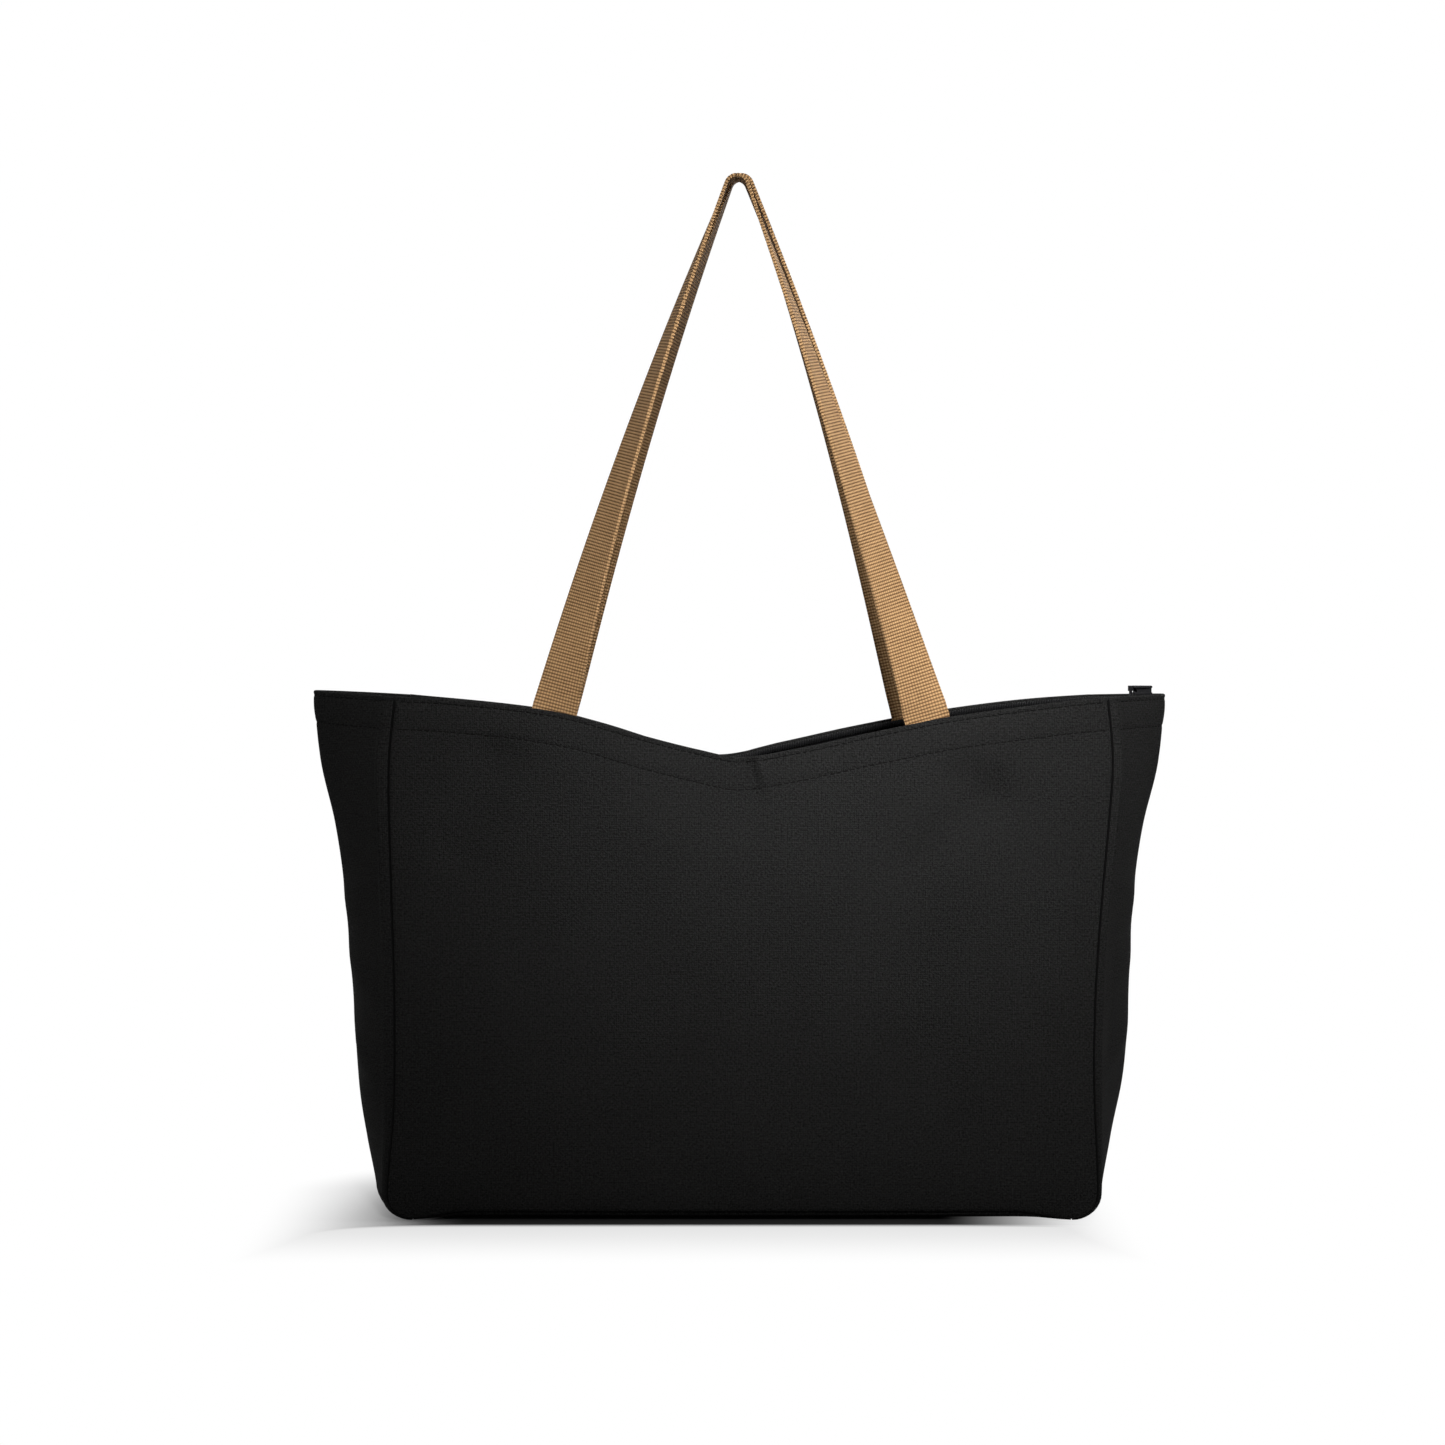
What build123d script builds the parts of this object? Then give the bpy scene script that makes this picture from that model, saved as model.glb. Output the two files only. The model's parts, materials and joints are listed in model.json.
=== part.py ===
from build123d import *
import math
import os

# A canvas tote bag with a zipped mouth and two webbing handles, in millimetres.
# The bag stands on Z = 0 with its front towards -Y, and its origin is under its middle.

# Canvas body
panel_width = 392.0         # front and back panels, seam to seam
gusset_width = 125.0        # side gusset laid flat, which is also the depth of the base
corner_height = 292.0       # top corners above the floor
gusset_flare = 46.0         # how far each top corner stands out beyond the panel seams
gusset_swell = 9.0          # how far the gusset stands out at the floor
panel_bulge = 5.0           # swell of a panel at half height
edge_bulge = 1.0            # swell of a panel along its top and bottom edges
canvas = 1.2                # thickness of the cloth
base_radius = 15.0          # round corner from the gusset into the base
swell_height = 60.0         # where the gusset has its full swell above that corner

# Mouth edge, as drops below the top corners
seam_drop = 3.0             # at the panel seams
handle_drop = 13.0          # where the handles are sewn
mouth_dip = 35.0            # in the middle
edge_overrun = 15.0         # length of the edge curve past each corner, which the trim removes
overrun_rise = 1.0          # rise of the edge curve at that end

# Hem and seams inside the bag
hem_depth = 24.0
facing = 1.0                # thickness of the hem facing
binding_width = 10.0
binding_thickness = 1.6
layer_gap = 0.2             # room between sewn layers

# Webbing handles
strap_width = 25.0
strap_thickness = 2.0
strap_spacing = 208.0       # between the middles of the two ends of one handle
strap_tail = 36.0           # sewn length below the mouth edge
handle_top = 583.0          # top of the handles above the floor
crest_radius = 10.9         # bend over the hook
crest_entry = 21.0          # degrees from upright where the strap enters that bend
strap_bow = 4.0             # outward bow of the long run
handle_gap = 0.6            # between the two handles at the crest
swing_gap = 0.3             # between the free handle and its sewn end
run_steps = 8              # spans of the long run
crest_steps = 3             # spans of half the bend

# Zip round the mouth
tape_height = 13.0
tape_thickness = 0.8
tape_drop = 2.0             # top of the tape below the mouth edge
coil_height = 3.0
coil_thickness = 1.6
stop_margin = 14.0          # top stops inside the left seams
stop_length = 3.0
slider_length = 10.5
slider_wide = 9.0           # at the end that takes the two coils in
slider_narrow = 6.4         # at the end where they leave joined
slider_plate = 1.2
slider_height = 5.0
slider_side = 1.0           # room between the slider and the gusset's facing
neck_width = 1.6
neck_length = 3.0
slider_seat = 0.4           # height over the tapes
lug_width = 2.4
lug_reach = 2.8
lug_height = 3.0
pin_diameter = 1.4
pin_clearance = 0.1
pull_length = 24.0
pull_width = 5.2
pull_thickness = 1.2
pull_slot_gap = 0.25        # each side of the lug
pull_end_radius = 2.0

half_panel = panel_width / 2
half_gusset = gusset_width / 2
corner_x = half_panel + gusset_flare
handle_x = strap_spacing / 2
reach = corner_x + edge_overrun
span_y = gusset_width
facing_inset = canvas + layer_gap
loft_spans = 6              # straight spans that the walls are made of, from the floor up
loft_top = 1.03             # height of the last section, as a share of corner_height
search_steps = 40


def flare(z):
    """How far the middle of a gusset stands out beyond its seams."""
    return gusset_swell + (gusset_flare - gusset_swell) * z / corner_height


def seam_y(z):
    """Half the depth at the seams: the gusset keeps its width while it folds outwards."""
    return math.sqrt(half_gusset ** 2 - flare(z) ** 2)


def bulge(z):
    share = z / corner_height
    return edge_bulge + (panel_bulge - edge_bulge) * 4 * share * (1 - share)


def wall_y(x, z):
    """Outer face of the panels at one place."""
    return seam_y(z) + bulge(z) * (1 - (x / half_panel) ** 2)


def corner_reach(z, inset, half_width):
    """How far to the side a piece of this half width fits into the fold of a gusset."""
    return half_panel + flare(z) - (inset * half_gusset + half_width * flare(z)) / seam_y(z)


def outline(z, inset):
    """Plan of the bag at one height, moved in from the outside by inset."""
    depth = seam_y(z)
    y = depth - inset
    crown = y + bulge(z)
    x = half_panel - inset * (half_gusset - flare(z)) / depth
    tip = corner_reach(z, inset, 0)
    edges = [
        ThreePointArc((-x, -y, z), (0, -crown, z), (x, -y, z)),
        Line((x, -y, z), (tip, 0, z)),
        Line((tip, 0, z), (x, y, z)),
        ThreePointArc((x, y, z), (0, crown, z), (-x, y, z)),
        Line((-x, y, z), (-tip, 0, z)),
        Line((-tip, 0, z), (-x, -y, z)),
    ]
    return make_face(edges)


def section_heights(bottom):
    top = loft_top * corner_height
    return [bottom] + [top * (step + 1) / loft_spans for step in range(loft_spans)]


def body(inset):
    """The bag as a full block, moved in from the outside by inset."""
    return loft([outline(z, inset) for z in section_heights(inset)], ruled=True)


def layer(inset, thickness):
    return body(inset) - body(inset + thickness)


def prism(edges):
    """A front-view profile run through the whole depth."""
    return extrude(make_face(edges), amount=span_y, dir=(0, 1, 0), both=True)


def lower_trim(inset):
    """Front-view profile with the round corners of the base, moved in by inset."""
    radius = base_radius - inset
    centre = half_panel + layer_gap - base_radius
    slant = radius * math.sin(math.radians(45))
    side = (centre + radius, 0, base_radius)
    swollen = (half_panel + flare(swell_height) + layer_gap - inset, 0, swell_height)
    top = (reach, 0, corner_height + edge_overrun)
    left_side, left_swollen, left_top = [(-x, y, z) for x, y, z in (side, swollen, top)]
    edges = [
        Line((-centre, 0, inset), (centre, 0, inset)),
        ThreePointArc((centre, 0, inset), (centre + slant, 0, base_radius - slant), side),
        Line(side, swollen),
        Line(swollen, top),
        Line(top, left_top),
        Line(left_top, left_swollen),
        Line(left_swollen, left_side),
        ThreePointArc(left_side, (-centre - slant, 0, base_radius - slant), (-centre, 0, inset)),
    ]
    return prism(edges)


def mouth_curve(drop):
    """The mouth edge in the front view, from the right corner to the left, moved down by drop."""
    right = [
        (reach, corner_height + overrun_rise),
        (half_panel, corner_height - seam_drop),
        (handle_x, corner_height - handle_drop),
    ]
    left = [(-x, z) for x, z in reversed(right)]
    points = right + [(0, corner_height - mouth_dip)] + left
    return Spline([(x, 0, z - drop) for x, z in points])


def edge_height(x):
    """Height of the mouth edge at one place across the bag, found by halving."""
    curve = mouth_curve(0)
    low, high = 0.0, 1.0
    for _ in range(search_steps):
        middle = (low + high) / 2
        if (curve @ middle).X > x:
            low = middle
        else:
            high = middle
    return (curve @ low).Z


def below_mouth(drop):
    """Everything lower than the mouth edge, moved down by drop."""
    curve = mouth_curve(drop)
    floor = -edge_overrun
    edges = [
        curve,
        Line(curve @ 1, (-reach, 0, floor)),
        Line((-reach, 0, floor), (reach, 0, floor)),
        Line((reach, 0, floor), curve @ 0),
    ]
    return prism(edges)


def band(upper, lower):
    """A strip along the mouth, between two drops below its edge."""
    return below_mouth(upper) - below_mouth(lower)


def block(x0, x1, y0, y1, z0, z1):
    size = Box(x1 - x0, y1 - y0, z1 - z0)
    return Pos((x0 + x1) / 2, (y0 + y1) / 2, (z0 + z1) / 2) * size


def column(x0, x1, y0, y1):
    """A block through the whole height of the bag."""
    return block(x0, x1, y0, y1, -edge_overrun, corner_height + edge_overrun)


def front_to_back(shape):
    return mirror(shape, Plane.XZ)


def right_to_left(shape):
    return mirror(shape, Plane.YZ)


def make_shell():
    """Panels, gussets and base: one cloth wall, cut along its seams."""
    outer = body(0) & lower_trim(0)
    inner = body(canvas) & lower_trim(canvas)
    wall = (outer - inner) & below_mouth(0)
    panel_half = half_panel - canvas
    panel_zone = lower_trim(canvas) & column(-panel_half, panel_half, -span_y, span_y)
    flat_half = half_panel - base_radius
    front_panel = wall & panel_zone & column(-reach, reach, -span_y, 0)
    rim = wall - panel_zone
    right_gusset = rim & column(flat_half, reach, -span_y, span_y)
    base_panel = rim & column(-flat_half, flat_half, -span_y, span_y)
    return {
        "front_panel": front_panel,
        "back_panel": front_to_back(front_panel),
        "right_gusset": right_gusset,
        "left_gusset": right_to_left(right_gusset),
        "base_panel": base_panel,
    }


def make_facings():
    """The hem turned in round the mouth, one strip behind each wall."""
    strip = layer(facing_inset, facing) & band(0, hem_depth)
    half = half_panel - facing_inset - facing
    front = strip & column(-half, half, -span_y, 0)
    right = strip & column(half, reach, -span_y, span_y)
    return {
        "front_hem_facing": front,
        "back_hem_facing": front_to_back(front),
        "right_hem_facing": right,
        "left_hem_facing": right_to_left(right),
    }


def make_bindings():
    """Tape over the raw edges of each panel seam: down one side, along the base and up the other."""
    start = facing_inset
    end = start + binding_thickness
    inner_half = half_panel - start - binding_width
    frame = lower_trim(start) & column(-half_panel + start, half_panel - start, -span_y, span_y)
    hole = column(-inner_half, inner_half, -span_y, span_y) & block(
        -reach, reach, -span_y, span_y, start + binding_width, corner_height + edge_overrun
    )
    sections = []
    for z in section_heights(0):
        near = seam_y(z) - start
        far = seam_y(z) - end
        edges = [
            ThreePointArc((-half_panel, -near, z), (0, -near - bulge(z), z), (half_panel, -near, z)),
            Line((half_panel, -near, z), (half_panel, -far, z)),
            ThreePointArc((half_panel, -far, z), (0, -far - bulge(z), z), (-half_panel, -far, z)),
            Line((-half_panel, -far, z), (-half_panel, -near, z)),
        ]
        sections.append(make_face(edges))
    front = (loft(sections, ruled=True) & frame & below_mouth(hem_depth + layer_gap)) - hole
    return {
        "front_seam_binding": front,
        "back_seam_binding": front_to_back(front),
    }


# Heights where the handles leave the bag
strap_inset = facing_inset + facing + layer_gap
hinge_z = edge_height(handle_x + strap_width / 2) + swing_gap
hinge_y = wall_y(handle_x, hinge_z) + swing_gap
free_z = hinge_z + swing_gap
strap_y = wall_y(handle_x, free_z) - strap_inset - strap_thickness / 2


def make_strap_ends():
    """The sewn ends of the handles, flat against the hem facing."""
    low = corner_height - handle_drop - strap_tail
    webbing = layer(strap_inset, strap_thickness)
    zone = block(
        handle_x - strap_width / 2, handle_x + strap_width / 2, -span_y, 0, low, hinge_z
    )
    right = webbing & zone
    left = right_to_left(right)
    return {
        "front_handle_right_end": right,
        "front_handle_left_end": left,
        "back_handle_right_end": front_to_back(right),
        "back_handle_left_end": front_to_back(left),
    }


def strap_route():
    """Points and upright angles of half a handle, from the hem up to the crest."""
    entry = math.radians(crest_entry)
    top = handle_top - strap_thickness / 2
    centre_z = top - crest_radius
    start = Vector(handle_x, 0, free_z)
    finish = Vector(crest_radius * math.cos(entry), 0, centre_z + crest_radius * math.sin(entry))
    chord = finish - start
    side = Vector(chord.Z, 0, -chord.X).normalized()
    points = []
    for step in range(run_steps):
        share = step / run_steps
        points.append(start + chord * share + side * (strap_bow * 4 * share * (1 - share)))
    for step in range(crest_steps + 1):
        angle = entry + (math.pi / 2 - entry) * step / crest_steps
        points.append(Vector(crest_radius * math.cos(angle), 0, centre_z + crest_radius * math.sin(angle)))
    return points


def make_front_handle():
    """One strap that turns a quarter on its way up, so that it lies flat over the hook."""
    points = strap_route()
    last = len(points) - 1
    crest_y = (strap_width + handle_gap) / 2
    lengths = [0.0]
    for before, after in zip(points, points[1:]):
        lengths.append(lengths[-1] + (after - before).length)
    sections = []
    for index, point in enumerate(points):
        share = lengths[index] / lengths[-1]
        before = points[max(index - 1, 0)]
        after = points[min(index + 1, last)]
        run = (after - before).normalized()
        if index == 0:
            run = Vector(0, 0, 1)
        if index == last:
            run = Vector(-1, 0, 0)
        across = Vector(run.Z, 0, -run.X)
        turn = math.radians(90) * share
        width_way = across * math.cos(turn) + Vector(0, 1, 0) * math.sin(turn)
        place = Vector(point.X, -strap_y + (strap_y - crest_y) * share, point.Z)
        plane = Plane(origin=place, x_dir=width_way, z_dir=run)
        sections.append(plane * Rectangle(strap_width, strap_thickness))
    right = loft(sections, ruled=True)
    return right + right_to_left(right)


# Place of the zip slider, in the corner of the right gusset
tape_inset = strap_inset + strap_thickness + layer_gap
coil_inset = tape_inset + tape_thickness
seat_z = corner_height - seam_drop
slider_x1 = corner_reach(seat_z, facing_inset + facing, slider_narrow / 2) - slider_side
slider_x0 = slider_x1 - slider_length
slider_z = edge_height(slider_x1) - tape_drop + slider_seat
lug_x = slider_x0 - lug_reach / 2
pin_z = slider_z + slider_height - lug_height / 2
coil_x1 = slider_x0 - lug_reach
coil_x0 = -half_panel + stop_margin


def make_zip_tapes():
    tape = layer(tape_inset, tape_thickness) & band(tape_drop, tape_drop + tape_height)
    front = tape & column(-reach, reach, -span_y, -layer_gap / 2)
    coil = layer(coil_inset, coil_thickness) & band(tape_drop, tape_drop + coil_height)
    front_coil = coil & column(coil_x0, coil_x1, -span_y, 0)
    stop = coil & column(coil_x0 - stop_length, coil_x0, -span_y, 0)
    stop_top = slider_z - slider_seat
    stop_low = stop_top - coil_height
    stop_half = neck_width
    end_x = corner_reach(stop_low, coil_inset, stop_half) - layer_gap
    bottom_stop = block(end_x - stop_length, end_x, -stop_half, stop_half, stop_low, stop_top)
    return {
        "zip_tape_front": front,
        "zip_tape_back": front_to_back(front),
        "zip_coil_front": front_coil,
        "zip_coil_back": front_to_back(front_coil),
        "zip_top_stops": Compound(children=[stop.solid(), front_to_back(stop).solid()]),
        "zip_bottom_stop": bottom_stop,
    }


def make_slider():
    """Two shield-shaped plates on a neck, with a lug for the pull."""
    wide = slider_wide / 2
    narrow = slider_narrow / 2
    shoulder = slider_x0 + slider_length / 2
    shield = make_face(
        Polyline(
            (slider_x0, -wide),
            (shoulder, -wide),
            (slider_x1, -narrow),
            (slider_x1, narrow),
            (shoulder, wide),
            (slider_x0, wide),
            close=True,
        )
    )
    plate = extrude(shield, amount=slider_plate)
    lower = Pos(0, 0, slider_z) * plate
    upper = Pos(0, 0, slider_z + slider_height - slider_plate) * plate
    upper = fillet(upper.edges().group_by(Axis.Z)[-1], slider_plate / 3)
    neck = block(
        slider_x0, slider_x0 + neck_length, -neck_width / 2, neck_width / 2,
        slider_z, slider_z + slider_height,
    )
    lug = block(
        slider_x0 - lug_reach, slider_x0, -lug_width / 2, lug_width / 2,
        pin_z - lug_height / 2, pin_z + lug_height / 2,
    )
    bore = Pos(lug_x, 0, pin_z) * Rot(90, 0, 0) * Cylinder(
        pin_diameter / 2 + pin_clearance, slider_wide
    )
    return lower + upper + neck + lug - bore


def make_pull():
    """A flat tab, forked round the lug, with a pin through it."""
    half = pull_width / 2
    slot = lug_width / 2 + pull_slot_gap
    low = pin_z - pull_length
    high = pin_z + pull_thickness / 2
    tab = block(lug_x - pull_thickness / 2, lug_x + pull_thickness / 2, -half, half, low, high)
    tab = fillet(tab.edges().filter_by(Axis.X).group_by(Axis.Z)[0], pull_end_radius)
    fork = block(
        lug_x - lug_reach, lug_x + lug_reach, -slot, slot, pin_z - lug_reach, pin_z + lug_reach
    )
    pin = Pos(lug_x, 0, pin_z) * Rot(90, 0, 0) * Cylinder(pin_diameter / 2, pull_width)
    return (tab - fork) + pin


def main():
    parts = {}
    parts.update(make_shell())
    parts.update(make_facings())
    parts.update(make_bindings())
    parts.update(make_strap_ends())
    parts["front_handle"] = make_front_handle()
    parts["back_handle"] = front_to_back(parts["front_handle"])
    parts.update(make_zip_tapes())
    parts["zip_slider"] = make_slider()
    parts["zip_pull"] = make_pull()
    os.makedirs("parts", exist_ok=True)
    for name, shape in parts.items():
        export_step(shape, f"parts/{name}.step")
    print("handle hinge y, z:", round(hinge_y, 3), round(hinge_z, 3))
    print("pull hinge x, z:", round(lug_x, 3), round(pin_z, 3))


main()
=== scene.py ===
import bpy
import json
from math import atan2, copysign, cos, exp, hypot, pi, radians, sin, sqrt
from mathutils import Matrix, Vector, noise


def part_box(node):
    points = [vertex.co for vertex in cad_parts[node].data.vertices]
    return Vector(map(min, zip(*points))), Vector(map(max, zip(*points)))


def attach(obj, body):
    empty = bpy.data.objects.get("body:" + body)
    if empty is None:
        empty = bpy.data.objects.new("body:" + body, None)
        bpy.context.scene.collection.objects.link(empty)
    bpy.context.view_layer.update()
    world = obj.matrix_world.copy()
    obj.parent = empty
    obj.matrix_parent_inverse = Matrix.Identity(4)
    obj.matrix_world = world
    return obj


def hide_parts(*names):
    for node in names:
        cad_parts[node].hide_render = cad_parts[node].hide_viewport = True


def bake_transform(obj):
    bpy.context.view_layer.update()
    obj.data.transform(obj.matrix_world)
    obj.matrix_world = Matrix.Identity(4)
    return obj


# A black canvas tote bag with tan webbing handles, standing on a pale floor. All sizes are in metres.

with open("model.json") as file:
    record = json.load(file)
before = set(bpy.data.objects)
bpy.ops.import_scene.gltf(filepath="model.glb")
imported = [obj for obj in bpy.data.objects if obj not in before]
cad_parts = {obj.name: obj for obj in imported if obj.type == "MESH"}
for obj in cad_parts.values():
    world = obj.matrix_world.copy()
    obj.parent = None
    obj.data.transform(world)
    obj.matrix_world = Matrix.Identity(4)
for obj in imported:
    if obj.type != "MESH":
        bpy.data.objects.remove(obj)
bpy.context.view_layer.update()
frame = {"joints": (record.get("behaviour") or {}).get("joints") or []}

# Sizes taken from the frame
corner_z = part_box("right_gusset")[1].z
handle_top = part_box("front_handle")[1].z
hinges = {joint["name"]: joint for joint in frame["joints"]}
hinge_place = Vector(hinges["front_handle_swing"]["pos_m"])
end_low, end_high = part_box("front_handle_right_end")
handle_x = (end_low.x + end_high.x) / 2
strap_width = end_high.x - end_low.x
strap_low = end_low.z
zip_stop_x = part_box("zip_coil_front")[0].x
zip_start_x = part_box("zip_coil_front")[1].x

# Cloth and sewing
half_gusset = 0.0625  # half the flat width of a gusset
low_flare = 0.009  # how far a gusset stands out past the panels, at the floor and at the mouth
top_flare = 0.046
base_tuck = 0.005  # the walls curve in to the base over this height
tuck_height = 0.040
canvas = 0.0011  # thickness of one layer
base_radius = 0.015  # round corner from the gusset into the base
edge_lift = 0.0044  # the long edges of the base stand this far off the floor
lift_flat = 0.150  # half length over which they do so in full, and the run in which that ends
lift_fade = 0.035
panel_lift_height = 0.045  # how far up a panel and in under the base the lift dies out
base_lift_width = 0.016
seam_depth = 0.0028  # how far a seam sinks between its two panels
seam_roll = 0.0034  # width over which the cloth rolls into the seam
seam_lean = 0.6  # how far the groove leans along the cloth for each part that it sinks
seam_turn_width = 0.007  # width over which the layers inside turn to the seam's own direction
ridge_height = 0.0008  # swelling of the gusset over the seam allowance
ridge_rise = 0.0019  # how much higher it stands in the upper part, below the hem
ridge_place = 0.0058
ridge_width = 0.0028
ridge_start, ridge_run = 0.140, 0.070
ridge_end, ridge_fade = 0.258, 0.014
ridge_drop = 0.7  # share of the rise that is lost again in the hem
fold_radius = 0.0011  # turned edge of the hem
fold_return = 0.0045  # length of the turned edge inside
edge_stitch = 0.0028  # stitch lines below the mouth edge
hem_stitch = 0.018
stitch_sink = 0.0003
stitch_spread = 0.0008
hem_puff = 0.0005
hem_groove = 0.45  # share of a seam's groove that stays open at the mouth edge
groove_start, groove_run = 0.001, 0.006
facing_depth = 0.024
facing_inset = 0.0026
tape_inset = 0.0064
tape_drop = 0.0018
tape_height = 0.013
floor_gap = 0.0003

# Mouth edge of the front, as (across, height)
front_edge_points = [
    (-0.242, 0.2925), (-0.191, 0.2902), (-0.16, 0.2885), (-0.117, 0.2841), (-0.09, 0.2791),
    (-0.055, 0.2691), (-0.022, 0.2608), (0.0, 0.2569), (0.033, 0.2619), (0.066, 0.2691),
    (0.093, 0.2747), (0.116, 0.2791), (0.171, 0.2863), (0.2046, 0.2896), (0.242, 0.2905),
]
# The back edge dips a little further to the left
back_edge_points = [
    (-0.242, 0.2925), (-0.191, 0.2884), (-0.117, 0.2806), (-0.08, 0.2719), (-0.045, 0.2612),
    (-0.012, 0.2535), (0.025, 0.261), (0.066, 0.27), (0.116, 0.2793), (0.171, 0.2862),
    (0.242, 0.2905),
]
# Half widths by height: the middle of the gussets, and the left and right panel seams
tip_top = [(0.18, 0.2245), (0.217, 0.2296), (0.25, 0.2373), (0.28, 0.2406), (0.295, 0.2418)]
left_tip_points = [(0.0, 0.205), (0.015, 0.2065), (0.04, 0.212), (0.07, 0.218), (0.127, 0.2215), *tip_top]
right_tip_points = [(0.0, 0.2035), (0.015, 0.205), (0.04, 0.211), (0.07, 0.2165), (0.127, 0.2205), *tip_top]
left_seam_points = [
    (0.0, 0.196), (0.018, 0.196), (0.063, 0.1922), (0.127, 0.1918), (0.19, 0.1937),
    (0.253, 0.1951), (0.295, 0.1912),
]
right_seam_points = [
    (0.0, 0.1985), (0.018, 0.1988), (0.079, 0.1964), (0.127, 0.1973), (0.174, 0.2005),
    (0.222, 0.205), (0.25, 0.2072), (0.27, 0.2066), (0.295, 0.2038),
]
bulge_points = [(0.0, 0.0015), (0.05, 0.007), (0.13, 0.0105), (0.21, 0.0085), (0.292, 0.0015)]


def smooth(points, at):
    """Value of a smooth line through the points, level past its ends."""
    if at <= points[0][0]:
        return points[0][1]
    if at >= points[-1][0]:
        return points[-1][1]
    index = 0
    while points[index + 1][0] < at:
        index += 1
    start, end = points[index], points[index + 1]
    span = end[0] - start[0]

    def slope(middle):
        before = points[max(middle - 1, 0)]
        after = points[min(middle + 1, len(points) - 1)]
        return (after[1] - before[1]) / (after[0] - before[0])

    share = (at - start[0]) / span
    square, cube = share ** 2, share ** 3
    return (
        (2 * cube - 3 * square + 1) * start[1]
        + (cube - 2 * square + share) * span * slope(index)
        + (3 * square - 2 * cube) * end[1]
        + (cube - square) * span * slope(index + 1)
    )


def ease(share):
    share = min(max(share, 0.0), 1.0)
    return share * share * (3 - 2 * share)


def hump(at, middle, width):
    return exp(-(((at - middle) / width) ** 2))


def seam_x(side, z):
    """Half width of the panels at a seam; side is -1 on the left and 1 on the right."""
    return smooth(right_seam_points if side > 0 else left_seam_points, z)


def seam_y(z):
    """Half depth at the seams; a gusset keeps its width as it folds outwards."""
    flare = low_flare + (top_flare - low_flare) * z / corner_z
    tuck = base_tuck * max(1 - z / tuck_height, 0.0) ** 2
    return sqrt(half_gusset ** 2 - flare ** 2) - tuck


def corner_cut(z):
    """How much narrower the panel is at this height, in the round corner of the base."""
    if z >= base_radius:
        return 0.0
    return base_radius - sqrt(max(base_radius ** 2 - (base_radius - z) ** 2, 0.0))


def lifted(x, share):
    """Rise of a long edge of the base; share is 1 at the edge and 0 where the lift ends."""
    return edge_lift * (1 - ease((abs(x) - lift_flat) / lift_fade)) * max(share, 0.0) ** 2


def mouth_edge(face, x):
    return smooth(front_edge_points if face < 0 else back_edge_points, x)


def roll(distance):
    """How far the cloth has sunk at this distance from its seam."""
    if distance >= seam_roll:
        return 0.0
    share = 1 - max(distance, 0.0) / seam_roll
    return seam_depth * (1 - sqrt(max(1 - share ** 2, 0.0)))


def hem_shape(below):
    """Outward swelling of the hem at this distance below the mouth edge."""
    swell = 0.0
    if edge_stitch < below < hem_stitch:
        swell = hem_puff * sin(pi * (below - edge_stitch) / (hem_stitch - edge_stitch))
    sink = hump(below, edge_stitch, stitch_spread) + hump(below, hem_stitch, stitch_spread)
    return swell - stitch_sink * sink


def hem_fill(below):
    """The folded layers of the hem fill up part of the seam's groove."""
    return hem_groove + (1 - hem_groove) * ease((below - groove_start) / groove_run)


# Waves of a panel: their heights, and where front and back start in the noise
wide_wave, small_wave = 0.0030, 0.0008
panel_phases = {-1: 3.1, 1: 9.4}
wave_floor_run = 0.05  # the waves die out towards the floor, and mostly so towards the mouth
wave_hem_run = 0.06
wave_hem_share = 0.35
strap_swell = 0.0012  # the panel swells over a strap end and sinks round the dip of its mouth edge
dip_sink = 0.0050
crease_rise, crease_sink = 0.0034, 0.0036
crease_x = 0.0045  # the crease at the dip runs down and to the right from here
crease_slant = 0.25
panel_margin = 0.03  # the softness dies out towards a seam over this width
# Shallow dents under the handles, as (start, end, depth, width), each end across and below the edge
panel_dents = [
    (Vector((-0.132, 0.030)), Vector((-0.154, 0.080)), 0.0046, 0.014),
    (Vector((0.124, 0.034)), Vector((0.138, 0.046)), 0.0034, 0.011),
    (Vector((0.138, 0.046)), Vector((0.098, 0.074)), 0.0038, 0.012),
]


def panel_softness(face, x, z, below):
    """Soft dents and waves of a standing panel, outwards positive."""
    phase = panel_phases[face]
    wide = noise.noise(Vector((x * 9.0, z * 9.0, phase)))
    small = noise.noise(Vector((x * 26.0, z * 22.0, phase + 4.0)))
    near_hem = wave_hem_share + (1 - wave_hem_share) * ease(below / wave_hem_run)
    value = (wide_wave * wide + small_wave * small) * (ease(z / wave_floor_run) * near_hem)
    for side in (-1, 1):
        value += strap_swell * hump(x * side - handle_x, 0.0, 0.016) * hump(below, 0.012, 0.022)
    spot = Vector((x, below))
    under_hem = ease((below - 0.008) / 0.020)
    for start, end, depth, width in panel_dents:
        run = end - start
        share = min(max((spot - start).dot(run) / run.length_squared, 0.0), 1.0)
        value -= depth * hump((spot - start - run * share).length, 0.0, width) * under_hem
    value -= dip_sink * hump(x, 0.004, 0.060) * hump(below, 0.0, 0.050)
    crease = x - crease_x - crease_slant * below
    flank = crease_rise * hump(crease, 0.0052, 0.0036) - crease_sink * hump(crease, 0.0, 0.0030)
    return value + flank * hump(below, 0.009, 0.009)


def into_seam(point, face, gap, below, inward, into, inset):
    """The point sunk towards its seam, and the way into the bag, turned to the seam's own beside it."""
    sunk = roll(gap) * hem_fill(below)
    bisector = Vector((seam_lean * inward.x, -face, seam_lean * inward.z))
    share = ease(gap / seam_turn_width)
    towards = (bisector.normalized() * (1 - share) + into.normalized() * share).normalized()
    point = point + inward * (seam_lean * sunk)
    point.y -= face * sunk
    return point + towards * inset, towards


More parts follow.
